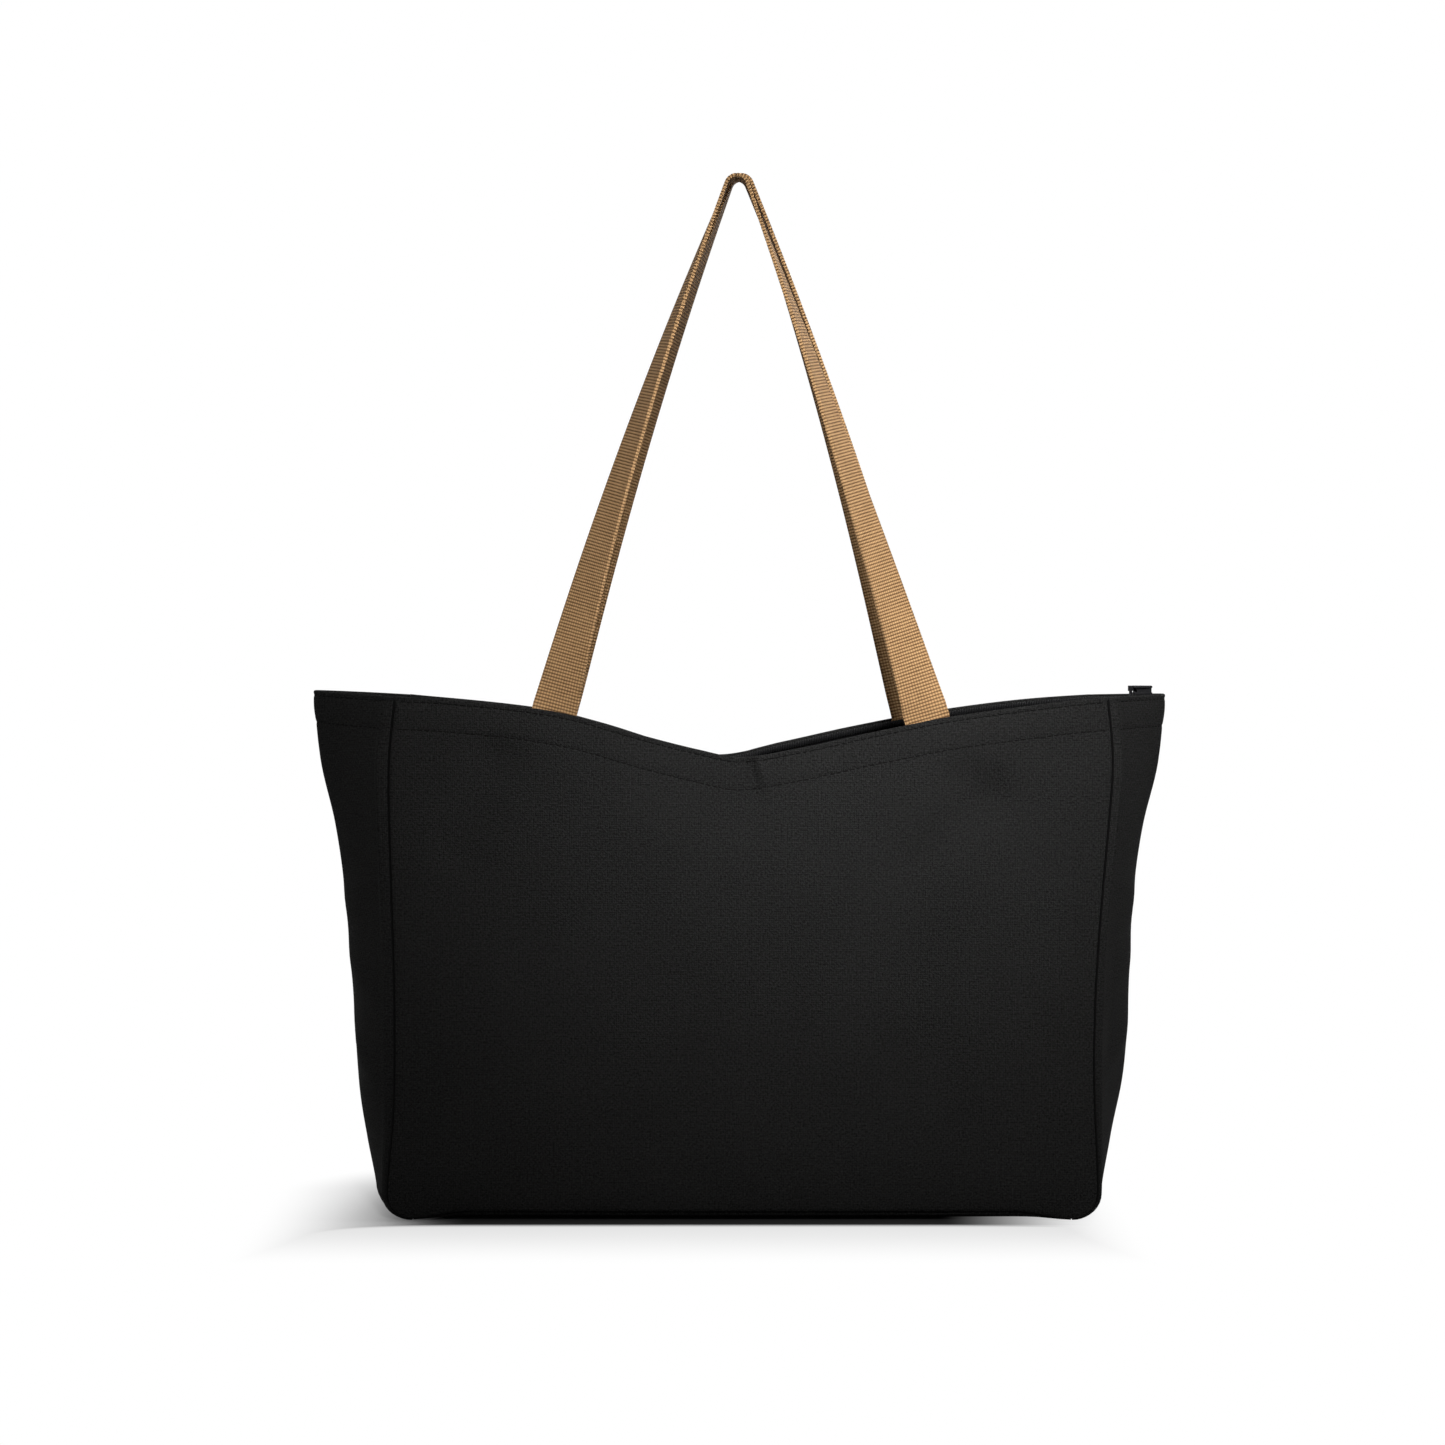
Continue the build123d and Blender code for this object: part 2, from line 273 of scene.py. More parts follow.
def panel_point(face, u, z, inset=0.0):
    """Point of the front (-1) or back (1) panel: u runs -1 to 1 across, z up the panel."""
    left = seam_x(-1, z)
    right = seam_x(1, z)
    cut = corner_cut(z)
    x = -(left - cut) + (u + 1) / 2 * (left + right - 2 * cut)
    depth = seam_y(z) + smooth(bulge_points, z) * (1 - u * u)
    side = 1 if x > 0 else -1
    limit = right if x > 0 else left
    over = abs(x) - (limit - base_radius)
    under = base_radius - z
    if over > 0 and under > 0:
        reach = hypot(over, under)
        gap = base_radius - reach
        inward = Vector((-side * over / reach, 0, under / reach))
    elif limit - abs(x) < z:
        gap = limit - abs(x)
        inward = Vector((-side, 0, 0))
    else:
        gap = z
        inward = Vector((0, 0, 1))
    below = mouth_edge(face, x) - z
    soft = panel_softness(face, x, z, below) * ease(gap / panel_margin)
    out = depth + soft + hem_shape(below)
    point = Vector((x, face * out, z + lifted(x, 1 - z / panel_lift_height)))
    return into_seam(point, face, gap, below, inward, Vector((0, -face, 0)), inset)


def panel_u(x, z):
    """The u of a panel point from its place across."""
    left, right, cut = seam_x(-1, z), seam_x(1, z), corner_cut(z)
    return (x + left - cut) / (left + right - 2 * cut) * 2 - 1


tip_round = 0.16  # roundness of a gusset's fold at the mouth, and what is added towards the floor
low_round = 1.1
round_height = 0.22
gusset_phases = {-1: 5.0, 1: 17.0}
gusset_wave, gusset_fold = 0.0024, 0.0022
gusset_margin = 0.02
# Slanting wrinkles of a gusset, as (height near the front seam, rise towards the back)
gusset_wrinkles = ((0.085, 0.030), (0.130, 0.022), (0.185, -0.020))


def gusset_plan(side, t, z):
    """Plan place of a gusset's cloth: t runs -1 at the front seam to 1 at the back seam."""
    x = seam_x(side, z)
    tip = smooth(right_tip_points if side > 0 else left_tip_points, z)
    soft = tip_round + low_round * (1 - ease(z / round_height))
    spread = (sqrt(t * t + soft ** 2) - soft) / (sqrt(1 + soft ** 2) - soft)
    return Vector((side * (x + (tip - x) * (1 - spread)), t * seam_y(z), z))


def gusset_softness(side, t, z, below):
    """Folds, waves and wrinkles of a gusset, outwards positive."""
    wave = noise.noise(Vector((t * 1.7, z * 8.0, gusset_phases[side])))
    for height, slope in gusset_wrinkles:
        wave += 0.7 * hump(z, height + slope * (t + 0.6), 0.009) * hump(t, -0.45, 0.4)
    fold = sin(4.4 * t + side * 0.7) * hump(z, 0.10, 0.075)
    calm = ease(below / 0.05) * ease((z - 0.02) / 0.06)
    return (gusset_wave * wave + gusset_fold * fold) * calm


def gusset_edge(x, t):
    """Height of the mouth edge over a gusset, between the front edge and the back edge."""
    blend = ease((t + 1) / 2)
    return mouth_edge(-1, x) * (1 - blend) + mouth_edge(1, x) * blend


def gusset_point(side, t, z, turn=0.0, inset=0.0):
    """Point of a side gusset; turn goes from 0 to a quarter circle, round the corner under the bag."""
    step = 0.02
    level, down = cos(turn), sin(turn)
    here = gusset_plan(side, t, z)
    run = gusset_plan(side, min(t + step, 1.0), z) - gusset_plan(side, max(t - step, -1.0), z)
    outward = Vector((side * run.y, -side * run.x, 0)).normalized()
    face = -1 if t < 0 else 1
    gap = (1 - abs(t)) * half_gusset
    below = gusset_edge(here.x, t) - z
    out = gusset_softness(side, t, z, below) * ease(gap / gusset_margin) + hem_shape(below)
    tall = ease((z - ridge_start) / ridge_run) * (1 - ridge_drop * ease((z - ridge_end) / ridge_fade))
    out += (ridge_height + ridge_rise * tall) * hump(gap, ridge_place, ridge_width) * level
    normal = outward * level + Vector((0, 0, -1)) * down
    if turn > 0:
        here.y = t * seam_y(base_radius * (1 - down))
    dropped = (base_radius - floor_gap) * down
    point = here + Vector((-side * base_radius * (1 - level), 0, -dropped))
    seam_inward = Vector((-side * level, 0, down))
    return into_seam(point + normal * out, face, gap, below, seam_inward, -normal, inset)


def steps(first, last, count):
    """Even steps from first to last, both included."""
    return [first + (last - first) * index / count for index in range(count + 1)]


def distances(points):
    """How far along a line each of its points lies."""
    lengths = [0.0]
    for before, after in zip(points, points[1:]):
        lengths.append(lengths[-1] + (after - before).length)
    return lengths


# Rows of the hem below the mouth edge, angles round its turned edge, rows of the return inside
hem_rows = (
    0.030, 0.026, 0.0225, 0.0205, 0.0194, 0.0187, 0.0180, 0.0173, 0.0166, 0.0155, 0.013, 0.010,
    0.0075, 0.0055, 0.0045, 0.0039, 0.0033, 0.0028, 0.0023, 0.0018, 0.0014,
)
fold_angles = (0.0, 0.5, 1.0, pi / 2, 2.1, 2.6, pi)
return_rows = (0.0018, fold_return)


def deselect():
    bpy.ops.object.select_all(action="DESELECT")


def activate(piece):
    piece.select_set(True)
    bpy.context.view_layer.objects.active = piece


def cloth_grid(name, columns, rows, place, cloth, thickness, offset=-1.0):
    """A sheet of cloth, its points and weave coordinates given by column and row."""
    deselect()
    bpy.ops.mesh.primitive_grid_add(x_subdivisions=columns, y_subdivisions=rows, size=2)
    piece = bpy.context.object
    piece.name = name
    piece.data.name = name
    spots = []
    for vertex in piece.data.vertices:
        column = round((vertex.co.x + 1) / 2 * columns)
        row = round((vertex.co.y + 1) / 2 * rows)
        spots.append((column, row))
    for vertex, spot in zip(piece.data.vertices, spots):
        vertex.co = place(*spot)
    weave = piece.data.uv_layers[0]
    for loop in piece.data.loops:
        weave.data[loop.index].uv = cloth(*spots[loop.vertex_index])
    bpy.ops.object.shade_smooth()
    apply_modifier(piece, "SOLIDIFY", thickness=thickness, offset=offset, use_even_offset=False)
    return piece


def apply_modifier(piece, kind, **settings):
    modifier = piece.modifiers.new(kind.title(), kind)
    for key, value in settings.items():
        setattr(modifier, key, value)
    deselect()
    activate(piece)
    bpy.ops.object.modifier_apply(modifier=modifier.name)


def round_edges(piece, width, segments=2, angle=0.9):
    apply_modifier(piece, "BEVEL", width=width, segments=segments, limit_method="ANGLE", angle_limit=angle)


def finish_piece(piece, material, body="bag", nodes=()):
    piece.data.materials.clear()
    piece.data.materials.append(material)
    if body:
        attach(piece, body)
    if nodes:
        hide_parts(*nodes)
    return piece


# Materials


class Graph:
    """Short ways to add nodes to one node tree."""

    def __init__(self, tree):
        self.nodes = tree.nodes
        self.link = tree.links.new

    def add(self, kind):
        return self.nodes.new(f"ShaderNode{kind}")

    def math(self, operation, first, second=None):
        node = self.add("Math")
        node.operation = operation
        for socket, value in zip(node.inputs, (first, second)):
            if isinstance(value, (int, float)):
                socket.default_value = value
            elif value is not None:
                self.link(value, socket)
        return node.outputs[0]

    def product(self, first, second):
        return self.math("MULTIPLY", first, second)

    def sum(self, first, second):
        return self.math("ADD", first, second)

    def place(self, kind):
        return self.add("TexCoord").outputs[kind]

    def parts(self, place):
        node = self.add("SeparateXYZ")
        self.link(place, node.inputs[0])
        return node.outputs

    def noise(self, place, scale, detail):
        node = self.add("TexNoise")
        node.inputs["Scale"].default_value = scale
        node.inputs["Detail"].default_value = detail
        self.link(place, node.inputs["Vector"])
        return node.outputs["Fac"]

    def ranged(self, value, low, high, first, last):
        """The value eased from one range into another."""
        node = self.add("MapRange")
        node.interpolation_type = "SMOOTHSTEP"
        for name, number in (("From Min", low), ("From Max", high), ("To Min", first), ("To Max", last)):
            node.inputs[name].default_value = number
        self.link(value, node.inputs["Value"])
        return node.outputs["Result"]

    def ramp(self, value, *stops):
        node = self.add("ValToRGB")
        for element, (position, colour) in zip(node.color_ramp.elements, stops):
            element.position = position
            element.color = (*colour, 1)
        self.link(value, node.inputs["Fac"])
        return node.outputs["Color"]

    def bump(self, shader, height, distance):
        node = self.add("Bump")
        node.inputs["Distance"].default_value = distance
        node.inputs["Strength"].default_value = 1.0
        self.link(height, node.inputs["Height"])
        self.link(node.outputs["Normal"], shader.inputs["Normal"])

    def mix(self, share, first, second, target):
        node = self.add("MixShader")
        self.link(share, node.inputs["Fac"])
        self.link(first, node.inputs[1])
        self.link(second, node.inputs[2])
        self.link(node.outputs["Shader"], target)

    def showing_rays(self):
        """1 for the rays that show the white room: those of the camera, of shine and of glass."""
        rays = self.add("LightPath").outputs
        seen = self.math("MAXIMUM", rays["Is Camera Ray"], rays["Is Glossy Ray"])
        return self.math("MAXIMUM", seen, rays["Is Transmission Ray"])


def new_material(name, roughness, shine):
    material = bpy.data.materials.new(name)
    material.use_nodes = True
    graph = Graph(material.node_tree)
    shader = graph.nodes["Principled BSDF"]
    shader.inputs["Roughness"].default_value = roughness
    shader.inputs["Specular IOR Level"].default_value = shine
    return material, graph, shader


canvas_shine = 0.02
canvas_slub_scale, canvas_cloud_scale = 900.0, 22.0
canvas_crossing, canvas_slub = 0.55, 2.8  # heights of the weave's crossings and of its slubs


def woven(name, dark, light, pitch, depth, roughness):
    """Plain-weave cloth in its own coordinates, in metres, with slubs and a dusty bloom."""
    material, graph, shader = new_material(name, roughness, canvas_shine)
    place = graph.place("UV")
    parts = graph.parts(place)
    warp = graph.math("SINE", graph.product(parts["X"], pi / pitch))
    weft = graph.math("SINE", graph.product(parts["Y"], pi / pitch))
    over = graph.math("ABSOLUTE", graph.product(warp, weft))
    crossing = graph.product(over, canvas_crossing)
    slub = graph.product(graph.noise(place, canvas_slub_scale, 3.0), canvas_slub)
    height = graph.sum(crossing, slub)
    cloud = graph.product(graph.noise(place, canvas_cloud_scale, 4.0), 0.12)
    # Colour follows the weave's height: the hollows between crossings are darker as painted shade, while
    # slubs and cloud vary the tone at random
    tone = graph.sum(graph.product(height, 0.40), cloud)
    graph.link(graph.ramp(tone, (0.36, dark), (1.0, light)), shader.inputs["Base Color"])
    graph.bump(shader, height, depth)
    return material


rib_pitch = 0.00178
float_pitch = strap_width / 15
float_depth = 0.55  # share of a rib's height that is lost between two floats
thread_wander = 0.00025
rib_relief = 0.0003
# Painted shade at the bottom of the grooves, and the tan of the rib tops
webbing_groove_shade = (0.075, 0.036, 0.013)
webbing_light = (0.480, 0.291, 0.138)


def webbing_cloth(name):
    """Ribbed webbing: strong cross ribs, each cut into short floats by the lengthwise threads."""
    material, graph, shader = new_material(name, 0.85, 0.15)
    place = graph.place("UV")
    parts = graph.parts(place)
    slub = graph.noise(place, 300.0, 3.0)
    cloud = graph.noise(place, 60.0, 3.0)
    wander = graph.product(slub, thread_wander)
    across = graph.product(graph.sum(parts["X"], wander), pi / float_pitch)
    along = graph.product(graph.sum(parts["Y"], wander), pi / rib_pitch)
    rib = graph.math("ABSOLUTE", graph.math("SINE", along))
    cut = graph.math("ABSOLUTE", graph.math("COSINE", across))
    cut = graph.sum(graph.product(cut, float_depth), 1 - float_depth)
    height = graph.product(rib, cut)
    # Colour follows the relief: the grooves between ribs and floats are darker as painted shade, and slubs
    # and cloud vary the tone at random
    tone = graph.sum(graph.product(height, 0.80), graph.product(slub, 0.20))
    tone = graph.sum(tone, graph.product(cloud, 0.20))
    colour = graph.ramp(tone, (0.24, webbing_groove_shade), (1.0, webbing_light))
    graph.link(colour, shader.inputs["Base Color"])
    graph.bump(shader, height, rib_relief)
    return material


speckle_scale = 1400.0
speckle_dark, speckle_light = 0.7, 1.5


def plain_finish(name, colour, roughness, grain, shine):
    """Lacquer, nylon or thread: one colour with a fine uneven surface."""
    material, graph, shader = new_material(name, roughness, shine)
    speckle = graph.noise(graph.place("Object"), speckle_scale, 3.0)
    dark = tuple(speckle_dark * part for part in colour)
    light = tuple(speckle_light * part for part in colour)
    graph.link(graph.ramp(speckle, (0.3, dark), (0.75, light)), shader.inputs["Base Color"])
    graph.bump(shader, speckle, grain)
    return material


canvas_cloth = woven("black_canvas", (0.0028, 0.0028, 0.0028), (0.0286, 0.0286, 0.0281), 0.0010, 0.0004, 0.9)
# Canvas of the hem facings: the black canvas made darker as painted shade inside the mouth
shaded_facing_cloth = woven("canvas_inside_painted_shade", (0.0015, 0.0015, 0.0015), (0.0100, 0.0100, 0.0098), 0.0010, 0.0004, 0.9)
tape_dark, tape_light = (0.0030, 0.0030, 0.0030), (0.0200, 0.0200, 0.0205)
binding_cloth = woven("black_twill_tape", tape_dark, tape_light, 0.0009, 0.0003, 0.85)
# Black zip tape, darker than the binding tape as painted shade inside the mouth
zip_tape_and_shade_cloth = woven("black_zip_tape_and_shade", (0.0012, 0.0012, 0.0013), (0.0080, 0.0080, 0.0084), 0.0008, 0.0002, 0.8)
strap_cloth = webbing_cloth("tan_webbing")
# Black thread of the stitches, used also for the strip of painted shade in the seams
black_thread_and_seam_shade = plain_finish("black_thread_and_seam_shade", (0.0022, 0.0022, 0.0022), 0.85, grain=0.00005, shine=0.05)
tan_thread = plain_finish("tan_thread", (0.30, 0.175, 0.085), 0.7, grain=0.00005, shine=0.2)
nylon = plain_finish("black_nylon", (0.006, 0.006, 0.0065), 0.55, grain=0.00004, shine=0.12)
lacquer = plain_finish("black_lacquer", (0.008, 0.008, 0.009), 0.6, grain=0.00003, shine=0.08)


# Panels
wall_row_count = 52
hem_gap = 0.004  # from the last row of the open wall to the first of the hem


def wall_rows(low_rows):
    """Rows of a wall as (kind, value): low rows, open wall, hem and its turned edge."""
    wall = [step / wall_row_count for step in range(wall_row_count)]
    kinds = {"low": low_rows, "wall": wall, "hem": hem_rows, "fold": fold_angles, "return": return_rows}
    return [(kind, value) for kind, values in kinds.items() for value in values]


def wall_point(point_at, kind, value, edge):
    """A point of the open wall, the hem, its turned edge or its return."""
    if kind == "wall":
        high = edge - hem_rows[0] - hem_gap
        return point_at(base_radius + (high - base_radius) * value)[0]
    if kind == "hem":
        return point_at(edge - value)[0]
    point, inward = point_at(edge - fold_radius)
    if kind == "fold":
        raised = Vector((0, 0, fold_radius * sin(value)))
        return point + inward * (fold_radius * (1 - cos(value))) + raised
    return point + inward * (2 * fold_radius) - Vector((0, 0, value))


def crowded(share, power):
    """A place from -1 to 1 for a share from 0 to 1, closer together towards both ends."""
    line = 2 * share - 1
    return copysign(1 - (1 - abs(line)) ** power, line)


panel_low_rows = [0.0, 0.0006, 0.0014, 0.0024, 0.0036, 0.0052, 0.0072, 0.0096, 0.0122]
panel_columns = 250
panel_crowding = 1.35
panel_mouth_z = 0.25  # height at which a panel's place along the mouth is read off


def panel_mouth(face, u):
    """Height of the mouth edge over a panel."""
    return mouth_edge(face, panel_point(face, u, panel_mouth_z)[0].x)


def panel_below(face, u, below, inset=0.0):
    """Point of a panel this far below its mouth edge."""
    return panel_point(face, u, panel_mouth(face, u) - below, inset=inset)[0]


def make_panel(face, where):
    rows = wall_rows(panel_low_rows)

    def place(column, row):
        kind, value = rows[row]
        u = crowded(column / panel_columns, panel_crowding) * -face
        if kind == "low":
            return panel_point(face, u, value)[0]
        return wall_point(lambda z: panel_point(face, u, z), kind, value, panel_mouth(face, u))

    def cloth(column, row):
        point = place(column, row)
        turned = 0.0
        if rows[row][0] == "return":
            turned = rows[row][1] + fold_radius * 3
        return (point.x, point.z + 2 * turned)

    piece = cloth_grid(f"{where}_panel_cloth", panel_columns, len(rows) - 1, place, cloth, canvas)
    finish_piece(piece, canvas_cloth, nodes=[f"{where}_panel"])


make_panel(-1, "front")
make_panel(1, "back")

gusset_columns = 64
gusset_turns = 9
gusset_crowding = 1.3
gusset_mouth_z = 0.28


def gusset_mouth(side, t):
    """Height of the mouth edge over a gusset's column."""
    return gusset_edge(gusset_plan(side, t, gusset_mouth_z).x, t)


def gusset_below(side, t, below, inset=0.0):
    """Point of a gusset this far below its mouth edge."""
    return gusset_point(side, t, gusset_mouth(side, t) - below, inset=inset)[0]


def make_gusset(side, where):
    rows = wall_rows([pi / 2 * (1 - step / gusset_turns) for step in range(gusset_turns)])

    def across(column):
        return crowded(column / gusset_columns, gusset_crowding) * side

    def place(column, row):
        kind, value = rows[row]
        t = across(column)
        if kind == "low":
            return gusset_point(side, t, base_radius, turn=value)[0]
        return wall_point(lambda z: gusset_point(side, t, z), kind, value, gusset_mouth(side, t))

    def cloth(column, row):
        kind, value = rows[row]
        height = place(column, row).z
        if kind == "low":
            height = -value * base_radius
        return (across(column) * half_gusset, height)

    piece = cloth_grid(f"{where}_gusset_cloth", gusset_columns, len(rows) - 1, place, cloth, canvas)
    finish_piece(piece, canvas_cloth, nodes=[f"{where}_gusset"])


make_gusset(-1, "left")
make_gusset(1, "right")

base_columns, base_rows = 60, 34
base_crowding = 1.6


def make_base():
    def place(column, row):
        left = -(seam_x(-1, 0.0) - base_radius)
        right = seam_x(1, 0.0) - base_radius
        x = right + (left - right) * (column / base_columns)
        v = crowded(row / base_rows, base_crowding)
        u = 2 * ((x - left) / (right - left)) - 1
        depth = seam_y(0.0) + smooth(bulge_points, 0.0) * (1 - u * u)
        gap = (1 - abs(v)) * depth
        sunk = roll(gap)
        y = v * depth - copysign(sunk, v)
        return Vector((x, y, floor_gap + seam_lean * sunk + lifted(x, 1 - gap / base_lift_width)))

    def cloth(column, row):
        point = place(column, row)
        return (point.x, point.y)

    piece = cloth_grid("base_panel_cloth", base_columns, base_rows, place, cloth, canvas)
    finish_piece(piece, canvas_cloth, nodes=["base_panel"])


make_base()

# Hem facings
facing_rows = (0.0034, 0.0060, 0.0100, 0.0140, 0.0175, 0.0205, facing_depth)
facing_thickness = 0.0009


def make_facing(where, point_below, which, reach, columns, width, flat, wall):
    """A hem facing inside one wall, from the wall's points across and below its edge."""
    last = len(facing_rows) - 1

    def place(column, row):
        across = (1 - 2 * column / columns) * reach
        return point_below(which, across, facing_rows[last - row], facing_inset + facing_thickness)

    def cloth(column, row):
        return (column / columns * width, -facing_rows[last - row])

    piece = cloth_grid(f"{where}_facing_cloth", columns, last, place, cloth, facing_thickness)
    finish_piece(piece, shaded_facing_cloth, nodes=[f"{where}_hem_facing"])


panel_facing = dict(columns=110, width=0.392, flat=(0.394, 0.0212), wall="panel")
gusset_facing = dict(columns=40, width=0.125, flat=(0.122, 0.0212), wall="gusset")
panel_reach, gusset_reach = 0.992, 0.975
make_facing("front", panel_below, -1, panel_reach, **panel_facing)
make_facing("back", panel_below, 1, -panel_reach, **panel_facing)
make_facing("left", gusset_below, -1, -gusset_reach, **gusset_facing)
make_facing("right", gusset_below, 1, gusset_reach, **gusset_facing)

# Handles
strap_thickness = 0.0020
strap_inset = 0.0049  # middle of the sewn strap end behind the outside of the canvas
crest_entry = radians(21.0)
crest_y = 0.0128
crest_radius = 0.0062
strap_bow = 0.0044
twist_start = 0.026  # share of the rise below which a handle still lies flat on its panel
tail_rows, run_rows, crest_rows = 10, 84, 16
strap_columns = 10
free_drop = 0.005  # a strap comes free this far below its hinge line
flat_margin = 0.006  # and lies flat on the panel up to this far below that
strap_edge = 0.0006
back_shift = -0.003  # the back handle is sewn on a little further to the left


def half_strap(face, side, drop, lean, shift, crest_shift, twist):
    """Middle line of one half of a handle, laid out to the right, tail first, as (point, across)."""
    line = []
    free_z = hinge_place.z - free_drop
    for step in range(tail_rows):
        z = strap_low + (free_z - strap_low) * step / tail_rows
        u = panel_u(side * handle_x + shift, z)
        point = panel_point(face, u, min(z, free_z - flat_margin), inset=strap_inset)[0]
        line.append((Vector((handle_x + side * shift, point.y, z)), Vector((1, 0, 0))))
    start = Vector((handle_x + side * shift, line[-1][0].y, free_z))
    top = handle_top - strap_thickness / 2 - drop
    middle_z = top - crest_radius
    crest_x = side * crest_shift

    def crest_point(angle):
        x = crest_x + crest_radius * cos(angle)
        return Vector((x, face * crest_y, middle_z + crest_radius * sin(angle)))

    finish = crest_point(crest_entry)
    flat_chord = Vector((finish.x - start.x, 0, finish.z - start.z))
    side_out = Vector((flat_chord.z, 0, -flat_chord.x)).normalized()
    route = []
    for step in range(run_rows):
        share = step / run_rows
        swell = (strap_bow + side * lean) * 4 * share * (1 - share)
        route.append(start + (finish - start) * share + side_out * swell)
    for step in range(crest_rows + 1):
        route.append(crest_point(crest_entry + (pi / 2 - crest_entry) * step / crest_rows))
    for index, point in enumerate(route):
        share = min(index / run_rows, 1.0)
        before = route[max(index - 1, 0)]
        after = route[min(index + 1, len(route) - 1)]
        run = (after - before).normalized()
        across = Vector((run.z, 0, -run.x)).normalized()
        turn = pi / 2 * max((share - twist_start) / (1 - twist_start), 0.0) ** twist
        line.append((point, across * cos(turn) + Vector((0, -face, 0)) * sin(turn)))
    return line


def make_handle(face, body, **shape):
    line = half_strap(face, 1, **shape)
    for point, across in reversed(half_strap(face, -1, **shape)[:-1]):
        line.append((Vector((-point.x, point.y, point.z)), Vector((across.x, -across.y, -across.z))))
    travelled = distances([point for point, _ in line])

    def place(column, row):
        point, across = line[row]
        share = column / strap_columns - 0.5
        return point + across * (share * strap_width * -face)

    def cloth(column, row):
        return (column / strap_columns * strap_width, travelled[row])

    piece = cloth_grid(f"{body}_strap", strap_columns, len(line) - 1, place, cloth, strap_thickness, 0.0)
    round_edges(piece, strap_edge)
    nodes = [body, f"{body}_left_end", f"{body}_right_end"]
    finish_piece(piece, strap_cloth, body=None, nodes=nodes)
    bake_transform(piece)


make_handle(-1, "front_handle", drop=0.0022, lean=-0.0014, shift=0.0, crest_shift=-0.0016, twist=0.45)
make_handle(1, "back_handle", drop=-0.0008, lean=0.0002, shift=back_shift, crest_shift=0.0010, twist=0.55)


# Zip: tapes, coils and their metal parts
tape_thickness = 0.0007
tape_columns = 240
tape_rows = (tape_drop, 0.0035, 0.0060, 0.0090, 0.0120, tape_drop + tape_height)
tooth_pitch = 0.00145
tooth_length = 0.0034
tooth_radius = 0.00052
tooth_lean = 0.2
tip_gap = 0.0008  # half the gap between front and back at the tips of the mouth
tip_margin = 0.0012
ring_gusset = (0.02, 0.90)  # shares of gussets and panel that a line round the mouth is read from
ring_panel = 0.97
smoothings = 6


def evenly(points, count):
    """The same line with count + 1 points at even distances."""
    lengths = distances(points)
    result = []
    index = 0
    for step in range(count + 1):
        wanted = lengths[-1] * step / count
        while index < len(points) - 2 and lengths[index + 1] < wanted:
            index += 1
        share = (wanted - lengths[index]) / (lengths[index + 1] - lengths[index])
        result.append(points[index].lerp(points[index + 1], share))
    return result


def mouth_ring(face, inset, below, count):
    """A line round one side of the mouth, from left tip to right tip, inside the canvas."""
    points = [gusset_below(-1, face * share, below, inset) for share in steps(*ring_gusset, 22)]
    points += [panel_below(face, u, below, inset) for u in steps(-ring_panel, ring_panel, 90)]
    points += [gusset_below(1, face * share, below, inset) for share in reversed(steps(*ring_gusset, 22))]
    points = [point for point in points if point.y * face > tip_margin]
    for end, inner in ((0, 3), (-1, -4)):
        slope = (points[end] - points[inner]) / (points[end].y - points[inner].y)
        tip = points[end] + slope * (face * tip_gap - points[end].y)
        points.insert(0 if end == 0 else len(points), tip)
    points = evenly(points, count)
    for _ in range(smoothings):
        middle = [(points[i - 1] + points[i] * 2 + points[i + 1]) / 4 for i in range(1, count)]
        points = [points[0]] + middle + [points[-1]]
    return points


def make_tape(face, where):
    rings = [mouth_ring(face, tape_inset, below, tape_columns) for below in reversed(tape_rows)]
    length = distances(rings[0])[-1]

    def place(column, row):
        return rings[row][tape_columns - column if face < 0 else column]

    def cloth(column, row):
        return (column / tape_columns * length, -tape_rows[len(tape_rows) - 1 - row])

    piece = cloth_grid(f"{where}_zip_tape", tape_columns, len(tape_rows) - 1, place, cloth, tape_thickness)
    finish_piece(piece, zip_tape_and_shade_cloth, nodes=[f"zip_tape_{where}"])


make_tape(-1, "front")
make_tape(1, "back")


def capsule(name, radius, length, sides, rings):
    """A short round-ended rod along Z, drawn out from a ball."""
    deselect()
    bpy.ops.mesh.primitive_uv_sphere_add(segments=sides, ring_count=rings, radius=radius)
    piece = bpy.context.object
    piece.name = name
    for vertex in piece.data.vertices:
        if abs(vertex.co.z) > radius * 0.01:
            vertex.co.z += copysign(length / 2 - radius, vertex.co.z)
    bpy.ops.object.shade_smooth()
    return piece


def scatter(pattern, places):
    """One joined piece with a copy of the pattern at each place."""
    deselect()
    shared = pattern.data.copy()
    for place in places[1:]:
        twin = pattern.copy()
        twin.data = shared
        twin.matrix_world = place
        bpy.context.scene.collection.objects.link(twin)
        twin.select_set(True)
    pattern.data.transform(places[0])
    activate(pattern)
    bpy.ops.object.join()
    return pattern


def stood(point, along, out):
    """A placing whose Z runs along a direction and whose X faces outwards."""
    along = along.normalized()
    side = along.cross(out).normalized()
    out = side.cross(along)
    turned = Matrix((out, side, along)).transposed()
    return Matrix.Translation(point) @ turned.to_4x4()


def make_coil(face, where):
    inset = tape_inset + tooth_radius * 0.8
    ring = mouth_ring(face, inset, tape_drop + tooth_length * 0.35, 300)
    ring = evenly(ring, round(distances(ring)[-1] / tooth_pitch))
    places = []
    for before, here, after in zip(ring, ring[1:], ring[2:]):
        if zip_stop_x < here.x < zip_start_x:
            run = (after - before).normalized()
            out = run.cross(Vector((0, 0, 1)))
            places.append(stood(here, Vector((0, 0, 1)) + run * tooth_lean, out))
    piece = scatter(capsule(f"{where}_zip_coil", tooth_radius, tooth_length, 8, 6), places)
    finish_piece(piece, nylon, nodes=[f"zip_coil_{where}"])


make_coil(-1, "front")
make_coil(1, "back")

